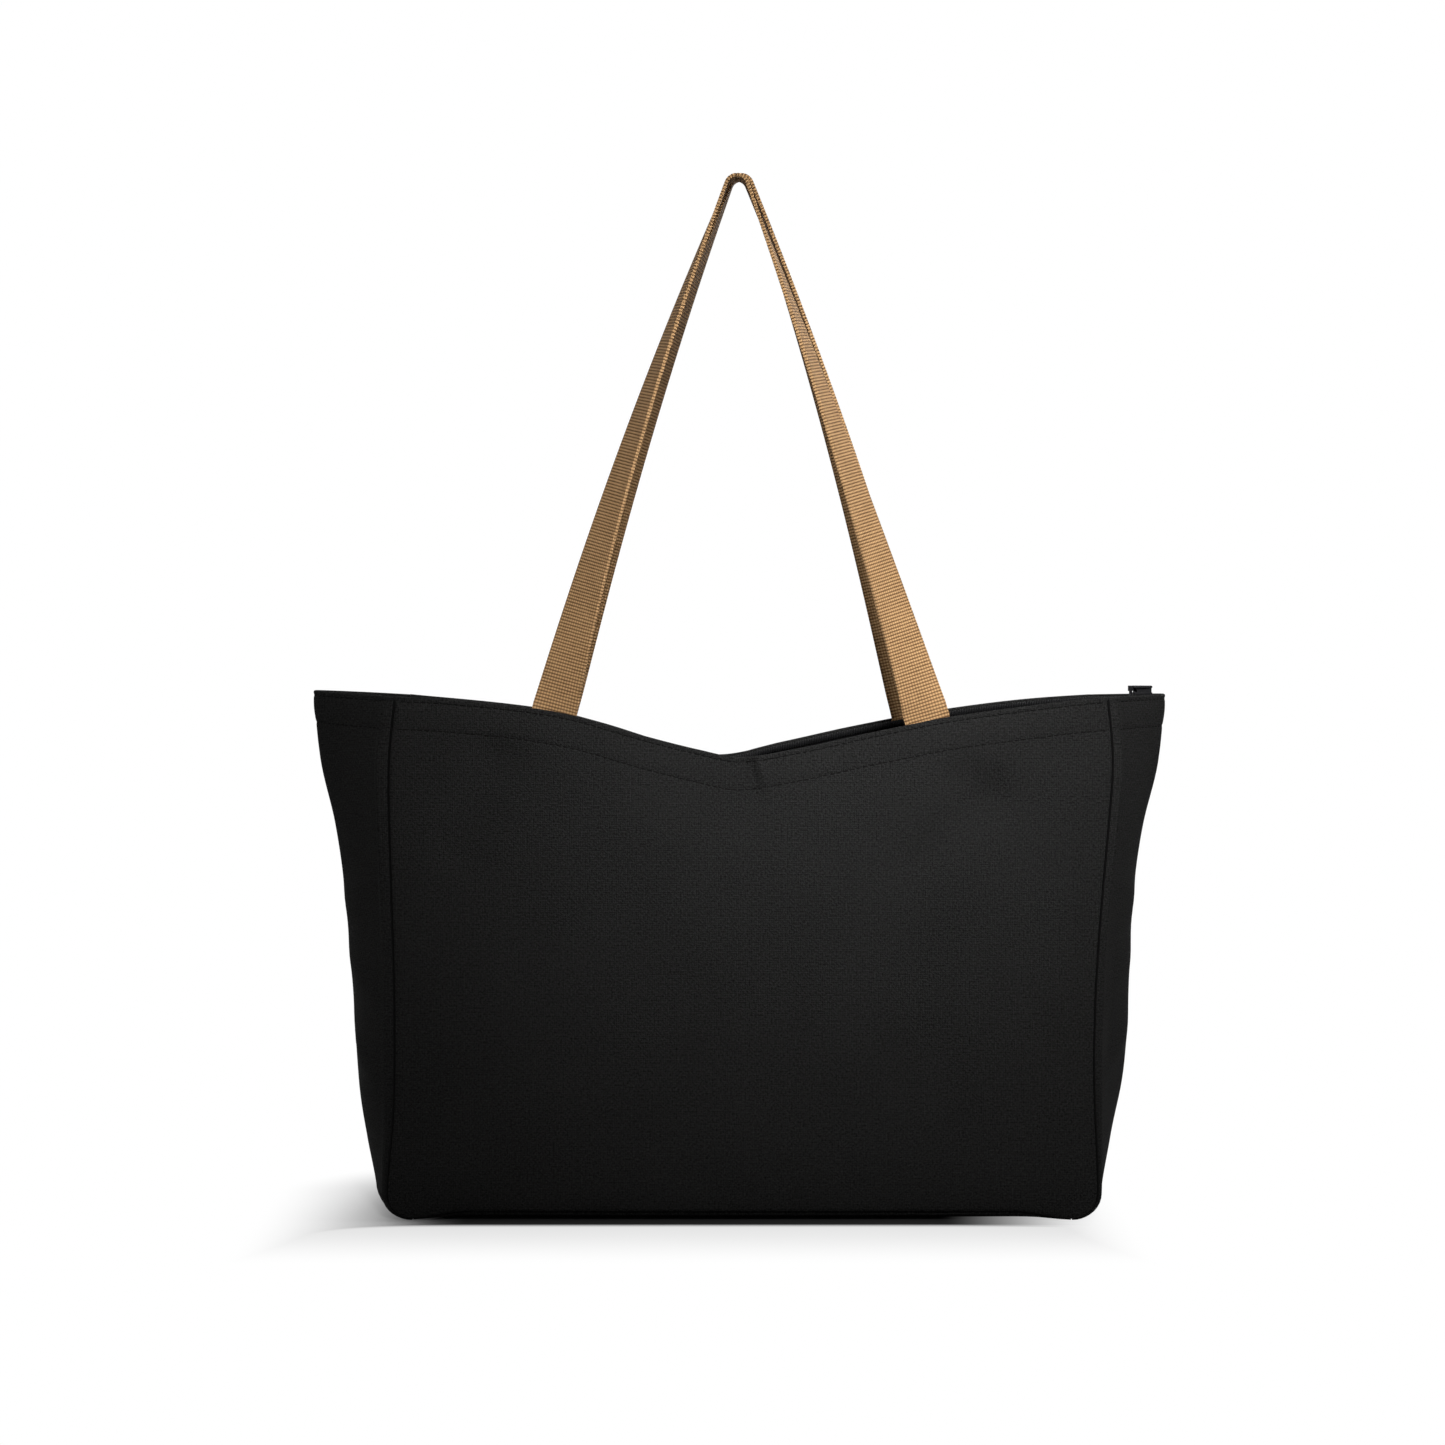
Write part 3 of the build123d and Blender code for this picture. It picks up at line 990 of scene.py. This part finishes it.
# Bound seam allowances inside the bag
binding_width = 0.0096
binding_thickness = 0.0015
binding_start = 0.0012
binding_inset = 0.0032
binding_top = 0.262
binding_edge = 0.0005
binding_rows = 4
# Painted shade in the seams: a thin black strip deep in each groove
seam_show = 0.0019  # the black strip of painted seam shade lies this far above the bottom of its groove
seam_shade_width = 0.0013
seam_shade_thickness = 0.0004
seam_hidden = 0.0006  # round the base the strip lies this far under the cloth
seam_top = 0.2880
side_steps, corner_steps, base_steps = 50, 8, 40


def outline_path(top):
    """The seam of a panel from its top left, round the base, to its top right: (place, inward)."""
    path = []
    left, right = seam_x(-1, 0.0), seam_x(1, 0.0)
    sides = steps(base_radius, top, side_steps)
    for z in reversed(sides):
        path.append((Vector((-seam_x(-1, z), z)), Vector((1, 0))))
    for centre, begin in ((-left + base_radius, pi), (right - base_radius, 1.5 * pi)):
        for angle in steps(begin, begin + pi / 2, corner_steps)[1:-1]:
            out = Vector((cos(angle), sin(angle)))
            path.append((Vector((centre, base_radius)) + out * base_radius, -out))
        if centre < 0:
            for x in steps(-left + base_radius, right - base_radius, base_steps):
                path.append((Vector((x, 0.0)), Vector((0, 1))))
    for z in sides:
        path.append((Vector((seam_x(1, z), z)), Vector((-1, 0))))
    return path


def make_binding(face, where):
    path = outline_path(binding_top)
    travelled = distances([spot for spot, _ in path])

    def place(column, row):
        spot, inward = path[column]
        share = (binding_rows - row if face > 0 else row) / binding_rows
        spot = spot + inward * (binding_start + binding_width * share)
        z = max(spot.y, 0.0004)
        return panel_point(face, panel_u(spot.x, z), z, inset=binding_inset)[0]

    def cloth(column, row):
        return (travelled[column], row / binding_rows * binding_width)

    columns = len(path) - 1
    piece = cloth_grid(f"{where}_binding_tape", columns, binding_rows, place, cloth, binding_thickness, 0.0)
    round_edges(piece, binding_edge)
    finish_piece(piece, binding_cloth, nodes=[f"{where}_seam_binding"])


def make_seam_shade_line(face, where):
    """A thin black strip deep in a panel's seam: painted shade for the dark gap of the seam."""
    path = outline_path(seam_top)
    columns = len(path) - 1

    def place(column, row):
        spot = path[column][0]
        z = max(spot.y, 0.0)
        upright = ease((z - 0.004) / 0.012)
        shown = seam_show * hem_fill(mouth_edge(face, spot.x) - z)
        rise = shown * upright - seam_hidden * (1 - upright)
        point, towards = panel_point(face, panel_u(spot.x, z), z, inset=-rise)
        before, after = path[max(column - 1, 0)][0], path[min(column + 1, columns)][0]
        run = Vector((after.x - before.x, 0, after.y - before.y)).normalized()
        return point + run.cross(towards).normalized() * (seam_shade_width * (0.5 - row))

    def cloth(column, row):
        return (0.001 * column, 0.001 * row)

    piece = cloth_grid(f"{where}_painted_seam_shade", columns, 1, place, cloth, seam_shade_thickness, 0.0)
    finish_piece(piece, black_thread_and_seam_shade)


make_seam_shade_line(-1, "front")
make_seam_shade_line(1, "back")
make_binding(-1, "front")
make_binding(1, "back")

# Stitches round the mouth
stitch_pitch = 0.0037
stitch_length = 0.0029
stitch_radius = 0.00031
stitch_panel, stitch_gusset = 0.982, 0.94  # shares of the walls that the stitch lines run over


def stitched(points, pitch, out):
    """Placings of stitches along a line of points."""
    points = evenly(points, round(distances(points)[-1] / pitch))
    return [stood((before + after) / 2, after - before, out) for before, after in zip(points, points[1:])]


def make_hem_stitches(name, below):
    places = []
    for face in (-1, 1):
        points = [panel_below(face, u, below) for u in steps(-stitch_panel, stitch_panel, 120)]
        places += stitched(points, stitch_pitch, Vector((0, face, 0)))
    for side in (-1, 1):
        points = [gusset_below(side, t, below) for t in steps(-stitch_gusset, stitch_gusset, 60)]
        places += stitched(points, stitch_pitch, Vector((side, 0, 0)))
    piece = scatter(capsule(name, stitch_radius, stitch_length, 6, 6), places)
    finish_piece(piece, black_thread_and_seam_shade)


make_hem_stitches("edge_stitches", edge_stitch)
make_hem_stitches("hem_stitches", hem_stitch)

# Box stitches that hold the handle ends inside the bag
box_half_width = 0.0088
box_low = 0.003
box_high = 0.017
box_pitch = 0.0030
box_stitch_length = 0.0024
box_stitch_radius = 0.00032
box_steps = 40


def make_box_stitches(name):
    corners = [(-1, box_low), (1, box_low), (1, box_high), (-1, box_high), (-1, box_low), (1, box_high)]
    runs = list(zip(corners, corners[1:])) + [((-1, box_high), (1, box_low))]

    def spot(face, middle, across, height):
        x = middle + across * box_half_width
        z = strap_low + height
        return panel_point(face, panel_u(x, z), z, inset=strap_inset + strap_thickness / 2)[0]

    places = []
    for face, shift in ((-1, 0.0), (1, back_shift)):
        for side in (-1, 1):
            middle = side * handle_x + shift
            for (first_x, first_z), (last_x, last_z) in runs:
                line = zip(steps(first_x, last_x, box_steps), steps(first_z, last_z, box_steps))
                points = [spot(face, middle, across, height) for across, height in line]
                places += stitched(points, box_pitch, Vector((0, -face, 0)))
    piece = scatter(capsule(name, box_stitch_radius, box_stitch_length, 6, 6), places)
    finish_piece(piece, tan_thread)


make_box_stitches("handle_end_stitches")


def cast_part(node, name, body, soft_edge):
    """A small cast part of the zip: its solid with the edges rounded over."""
    deselect()
    solid = bpy.data.objects[node]
    activate(solid)
    bpy.ops.object.duplicate()
    piece = bpy.context.object
    piece.name = name
    piece.parent = None
    piece.matrix_world = solid.matrix_world
    bpy.ops.object.transform_apply(location=True, rotation=True, scale=True)
    bpy.ops.object.mode_set(mode="EDIT")
    bpy.ops.mesh.select_all(action="SELECT")
    bpy.ops.mesh.remove_doubles(threshold=0.000002)
    bpy.ops.mesh.tris_convert_to_quads(face_threshold=0.1, shape_threshold=0.1)
    bpy.ops.mesh.dissolve_limited(angle_limit=0.02)
    bpy.ops.object.mode_set(mode="OBJECT")
    round_edges(piece, soft_edge, segments=3, angle=0.6)
    bpy.ops.object.shade_smooth_by_angle(angle=0.7)
    return finish_piece(piece, lacquer, body=body, nodes=[node])


slider_edge, stop_edge = 0.00028, 0.00025
slider = cast_part("zip_slider", "slider_body", "zip_slider", slider_edge)
cast_part("zip_pull", "slider_pull", "zip_pull", slider_edge)
wall_length, wall_width = 0.0084, 0.0008
wall_back = 0.0046  # middle of a side wall behind the slider's right end, and from its middle plane
wall_side = 0.0026
plate_overlap = 0.0016


def close_sides(piece):
    """Walls between the two plates of the slider, where it closes round the joined coils."""
    low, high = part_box("zip_slider")
    for side in (-1, 1):
        deselect()
        bpy.ops.mesh.primitive_cube_add(size=1.0)
        wall = bpy.context.object
        for vertex in wall.data.vertices:
            x, y, z = vertex.co
            vertex.co = (
                high.x - wall_back + wall_length * x,
                side * wall_side + wall_width * y,
                (low.z + high.z) / 2 + (high.z - low.z - plate_overlap) * z,
            )
        wall.data.materials.append(lacquer)
        activate(piece)
        bpy.ops.object.join()


close_sides(slider)
cast_part("zip_top_stops", "top_stops", "bag", stop_edge)
cast_part("zip_bottom_stop", "bottom_stop", "bag", stop_edge)


# The camera stands straight in front, a little over the mouth
camera_height = 0.355
camera_distance = 1.86
aim_height = 0.274
photo_pixels = 1445
pixel_size = 0.00055  # width of one photograph pixel at the front of the bag
front_plane = 0.055
photo_centre = 740.0  # pixel column of the middle of the bag
sensor_width = 36.0


def make_camera():
    data = bpy.data.cameras.new("photo_camera")
    camera = bpy.data.objects.new("photo_camera", data)
    bpy.context.scene.collection.objects.link(camera)
    shift = (photo_pixels / 2 - photo_centre) * pixel_size
    camera.location = (shift, -camera_distance, camera_height)
    down = atan2(camera_height - aim_height, camera_distance)
    camera.rotation_euler = (pi / 2 - down, 0, 0)
    data.sensor_width = sensor_width
    data.lens = sensor_width * (camera_distance - front_plane) / (photo_pixels * pixel_size)
    data.clip_end = 50.0
    bpy.context.scene.camera = camera


make_camera()

# Floor
half_depth = 0.064  # half depth of the bag on the floor
# Colour of the painted contact shadow under the bag, and of the pale floor
painted_floor_shadow, floor_pale = 0.03, 0.80
# Rim of the shadow, to the left and behind the bag, as (axis, centre, radius, least distance)
shadow_rim = (("X", -0.026, 0.197, -9.0), ("Y", 0.030, 0.105, 0.0))
shadow_core, shadow_end = 0.70, 1.24


def make_floor():
    deselect()
    bpy.ops.mesh.primitive_plane_add(size=12.0, location=(0, 0, 0))
    floor = bpy.context.object
    floor.name = "pale_floor"
    material, graph, shader = new_material("pale_floor", 0.9, 0.1)
    white = graph.add("Emission")
    white.inputs["Strength"].default_value = 1.0
    parts = graph.parts(graph.place("Object"))
    past_front = graph.math("SUBTRACT", -half_depth, parts["Y"])
    past_back = graph.math("SUBTRACT", parts["Y"], half_depth)
    sideways = graph.math("ABSOLUTE", parts["X"])
    # Painted contact shadow: the floor's colour is dark under the bag and pale around it
    outside = graph.math("MAXIMUM", past_front, past_back)
    painted_shadow_along = graph.ranged(outside, 0.0, 0.005, painted_floor_shadow, floor_pale)
    painted_shadow_across = graph.ranged(sideways, 0.150, 0.205, painted_floor_shadow, floor_pale)
    graph.link(graph.math("MAXIMUM", painted_shadow_along, painted_shadow_across), shader.inputs["Base Color"])
    # The white room takes over from the floor outside the shadow's rim
    squares = []
    for axis, centre, radius, least in shadow_rim:
        away = graph.math("MAXIMUM", graph.math("SUBTRACT", parts[axis], centre), least)
        away = graph.product(away, 1 / radius)
        squares.append(graph.product(away, away))
    rim = graph.math("SQRT", graph.sum(*squares))
    shown = graph.ranged(rim, shadow_core, shadow_end, 0.0, 1.0)
    # In front it does so in a narrow step and a wide one, and the narrow step widens to the sides
    softened = graph.ranged(sideways, 0.17, 0.26, 1.0, 0.16)
    narrow = graph.ranged(graph.product(past_front, softened), 0.001, 0.010, 0.0, 0.70)
    wide = graph.ranged(past_front, 0.0, 0.11, 0.0, 0.30)
    shown = graph.math("MAXIMUM", shown, graph.sum(narrow, wide))
    seen = graph.product(shown, graph.showing_rays())
    surface = graph.nodes["Material Output"].inputs["Surface"]
    graph.mix(seen, shader.outputs["BSDF"], white.outputs["Emission"], surface)
    floor.data.materials.append(material)


make_floor()


def make_light(name, place, aim, size, power, spread):
    data = bpy.data.lights.new(name, "AREA")
    data.spread = radians(spread)
    data.shape = "RECTANGLE"
    data.size, data.size_y = size
    data.energy = power
    lamp = bpy.data.objects.new(name, data)
    lamp.location = place
    lamp.rotation_euler = (Vector(aim) - Vector(place)).to_track_quat("-Z", "Y").to_euler()
    bpy.context.scene.collection.objects.link(lamp)


make_light("key_right", (0.15, -1.20, 0.95), (0.09, -0.06, 0.37), (0.35, 0.35), 1.15, 30.0)
make_light("fill_right", (1.2, -0.15, 1.05), (0.05, 0, 0.5), (0.4, 0.4), 0.45, 34.0)
make_light("back_fill", (0.5, 1.7, 1.1), (0, 0, 0.22), (1.2, 1.0), 16.0, 180.0)
make_light("top_soft", (0.1, 0.3, 2.2), (0, 0, 0.2), (2.0, 1.6), 12.0, 180.0)


room_light = 0.04


def make_world():
    world = bpy.data.worlds.new("white_room")
    bpy.context.scene.world = world
    world.use_nodes = True
    graph = Graph(world.node_tree)
    room = graph.nodes["Background"]
    white = graph.add("Background")
    for node, strength in ((room, room_light), (white, 1.0)):
        node.inputs["Color"].default_value = (1, 1, 1, 1)
        node.inputs["Strength"].default_value = strength
    surface = graph.nodes["World Output"].inputs["Surface"]
    graph.mix(graph.showing_rays(), room.outputs["Background"], white.outputs["Background"], surface)


make_world()
bpy.context.scene.view_settings.view_transform = "Standard"
